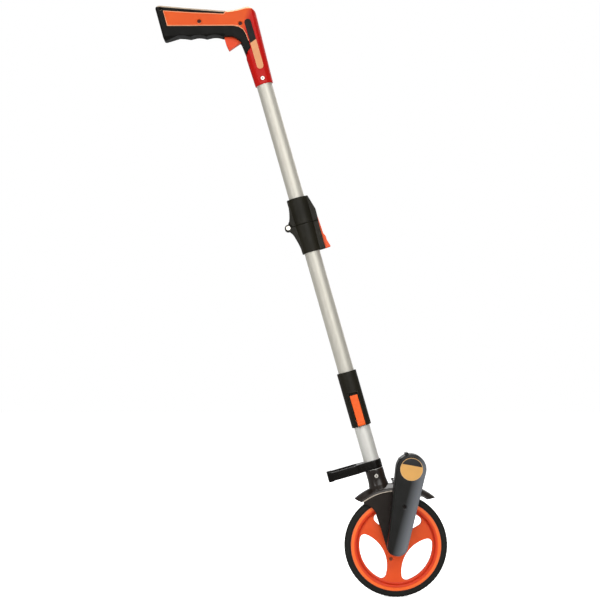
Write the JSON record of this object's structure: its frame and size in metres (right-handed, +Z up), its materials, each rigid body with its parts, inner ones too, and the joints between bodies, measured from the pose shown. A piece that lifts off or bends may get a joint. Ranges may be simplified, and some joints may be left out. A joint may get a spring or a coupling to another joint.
{
  "type": "measuring wheel",
  "caption": "Walking measuring wheel with a folding take-apart pole, pistol grip, brake trigger, forked mudguard and side counter.",
  "frame": {"origin": "where the tyre meets the ground, straight below the axle and midway across the tyre", "axes": "+Z up; +X level and forward, from the grip's butt towards the wheel; +Y across, along the axle, away from the counter"},
  "size_m": [0.4538, 0.07, 0.9186],
  "materials": {
    "orange_plastic": "smooth moulded orange-red plastic",
    "black_plastic": "satin moulded black plastic",
    "soft_grip": "soft-feel black moulding",
    "anodised_tube": "satin anodised",
    "steel": "zinc-plated steel",
    "brass": "sintered bronze bush",
    "tyre_rubber": "matt rubber",
    "brake_rubber": "brake lining",
    "label_face": "printed label, plain",
    "white_plastic": "moulded nylon",
    "clear_window": "clear moulded lens"
  },
  "bodies": {
    "handle": {"grip_shell_near": "orange_plastic", "grip_shell_far": "orange_plastic", "grip_overmould": "soft_grip", "grip_screws": "steel", "neck_label": "label_face", "neck_rivets": "steel", "upper_tube": "anodised_tube", "trigger_pin": "steel", "trigger_spring": "steel", "upper_rod_guides": "black_plastic", "fold_casting_upper": "black_plastic"},
    "trigger": {"trigger": "orange_plastic"},
    "upper_rod": {"upper_push_rod": "steel"},
    "lower_pole": {"fold_casting_lower": "black_plastic", "fold_pin": "steel", "latch_pin": "steel", "latch_spring": "steel", "middle_tube": "anodised_tube", "middle_rod_guides": "black_plastic", "coupling_sleeve": "black_plastic", "lever_pin": "steel", "clamp_pad": "brake_rubber"},
    "fold_latch": {"fold_latch": "orange_plastic"},
    "coupling_lever": {"coupling_lever": "orange_plastic"},
    "middle_rod": {"middle_push_rod": "steel"},
    "wheel_unit": {"lower_tube": "anodised_tube", "storage_clip": "black_plastic", "fork": "black_plastic", "socket_rivets": "steel", "axle_bearings": "brass", "case_back": "black_plastic", "case_front": "black_plastic", "case_screws": "steel", "counter_label": "label_face", "counter_window": "clear_window", "drive_belt": "brake_rubber", "brake_spring": "steel"},
    "brake": {"lower_push_rod": "steel", "brake_shoe": "steel", "brake_pad": "brake_rubber", "brake_guide_pin": "steel", "spring_cap": "black_plastic"},
    "wheel": {"wheel_disc": "orange_plastic", "tyre": "tyre_rubber", "axle": "steel", "axle_nut": "steel", "drive_pulley": "white_plastic", "hub_flange": "steel", "hub_screws": "steel"},
    "counter_1": {"counter_shaft": "steel", "counter_pulley": "white_plastic", "number_wheel_1": "white_plastic"},
    "counter_2": {"number_wheel_2": "white_plastic"},
    "counter_3": {"number_wheel_3": "white_plastic"},
    "counter_4": {"number_wheel_4": "white_plastic"},
    "counter_5": {"number_wheel_5": "white_plastic"},
    "reset_knob": {"reset_knob": "orange_plastic"}
  },
  "joints": [
    {"name": "fold", "type": "hinge", "parent": "handle", "child": "lower_pole", "pos_m": [-0.16646, 0, 0.57012], "axis": [0, 1, 0], "range_deg": [0, 163]},
    {"name": "trigger_pull", "type": "hinge", "parent": "handle", "child": "trigger", "pos_m": [-0.24081, 0, 0.87227], "axis": [0, 1, 0], "range_deg": [0, 12], "deforming": ["trigger_spring"]},
    {"name": "upper_rod_slide", "type": "slide", "parent": "handle", "child": "upper_rod", "axis": [0.274, 0, -0.9617], "range_m": [0, 0.003], "stiffness_N_per_m": 400, "springref_m": -0.004},
    {"name": "middle_rod_slide", "type": "slide", "parent": "lower_pole", "child": "middle_rod", "axis": [0.274, 0, -0.9617], "range_m": [0, 0.003], "stiffness_N_per_m": 400, "springref_m": -0.004},
    {"name": "latch_press", "type": "hinge", "parent": "lower_pole", "child": "fold_latch", "pos_m": [-0.11881, 0, 0.56602], "axis": [0, 1, 0], "range_deg": [0, 8], "stiffness_Nm_per_rad": 0.3, "springref_deg": -5.73, "deforming": ["latch_spring"]},
    {"name": "clamp_lever_flip", "type": "hinge", "parent": "lower_pole", "child": "coupling_lever", "pos_m": [-0.05369, -0.01815, 0.26806], "axis": [0.9617, 0, 0.274], "range_deg": [0, 100]},
    {"name": "wheel_unit_pull", "type": "slide", "parent": "lower_pole", "child": "wheel_unit", "axis": [0.274, 0, -0.9617], "range_m": [0, 0.055]},
    {"name": "brake_slide", "type": "slide", "parent": "wheel_unit", "child": "brake", "axis": [0.274, 0, -0.9617], "range_m": [0, 0.003], "stiffness_N_per_m": 400, "springref_m": -0.004, "deforming": ["brake_spring"]},
    {"name": "wheel_spin", "type": "hinge", "parent": "wheel_unit", "child": "wheel", "pos_m": [0, 0, 0.07958], "axis": [0, 1, 0], "continuous": true},
    {"name": "counter_1_turn", "type": "hinge", "parent": "wheel_unit", "child": "counter_1", "pos_m": [0.021, 0, 0.19998], "axis": [0, 1, 0], "continuous": true},
    {"name": "counter_2_turn", "type": "hinge", "parent": "wheel_unit", "child": "counter_2", "pos_m": [0.021, 0, 0.19998], "axis": [0, 1, 0], "continuous": true},
    {"name": "counter_3_turn", "type": "hinge", "parent": "wheel_unit", "child": "counter_3", "pos_m": [0.021, 0, 0.19998], "axis": [0, 1, 0], "continuous": true},
    {"name": "counter_4_turn", "type": "hinge", "parent": "wheel_unit", "child": "counter_4", "pos_m": [0.021, 0, 0.19998], "axis": [0, 1, 0], "continuous": true},
    {"name": "counter_5_turn", "type": "hinge", "parent": "wheel_unit", "child": "counter_5", "pos_m": [0.021, 0, 0.19998], "axis": [0, 1, 0], "continuous": true},
    {"name": "reset_turn", "type": "hinge", "parent": "wheel_unit", "child": "reset_knob", "pos_m": [0.021, 0, 0.19998], "axis": [0, 1, 0], "range_deg": [0, 350]}
  ],
  "couplings": [
    {"joint": "trigger_pull", "follows": "upper_rod_slide", "rad_per_m": 69.813},
    {"joint": "middle_rod_slide", "follows": "upper_rod_slide", "ratio": 1},
    {"joint": "brake_slide", "follows": "upper_rod_slide", "ratio": 1},
    {"joint": "counter_1_turn", "follows": "wheel_spin", "ratio": 0.5},
    {"joint": "counter_2_turn", "follows": "wheel_spin", "ratio": 0.05},
    {"joint": "counter_3_turn", "follows": "wheel_spin", "ratio": 0.005},
    {"joint": "counter_4_turn", "follows": "wheel_spin", "ratio": 0.0005},
    {"joint": "counter_5_turn", "follows": "wheel_spin", "ratio": 0.00005}
  ]
}
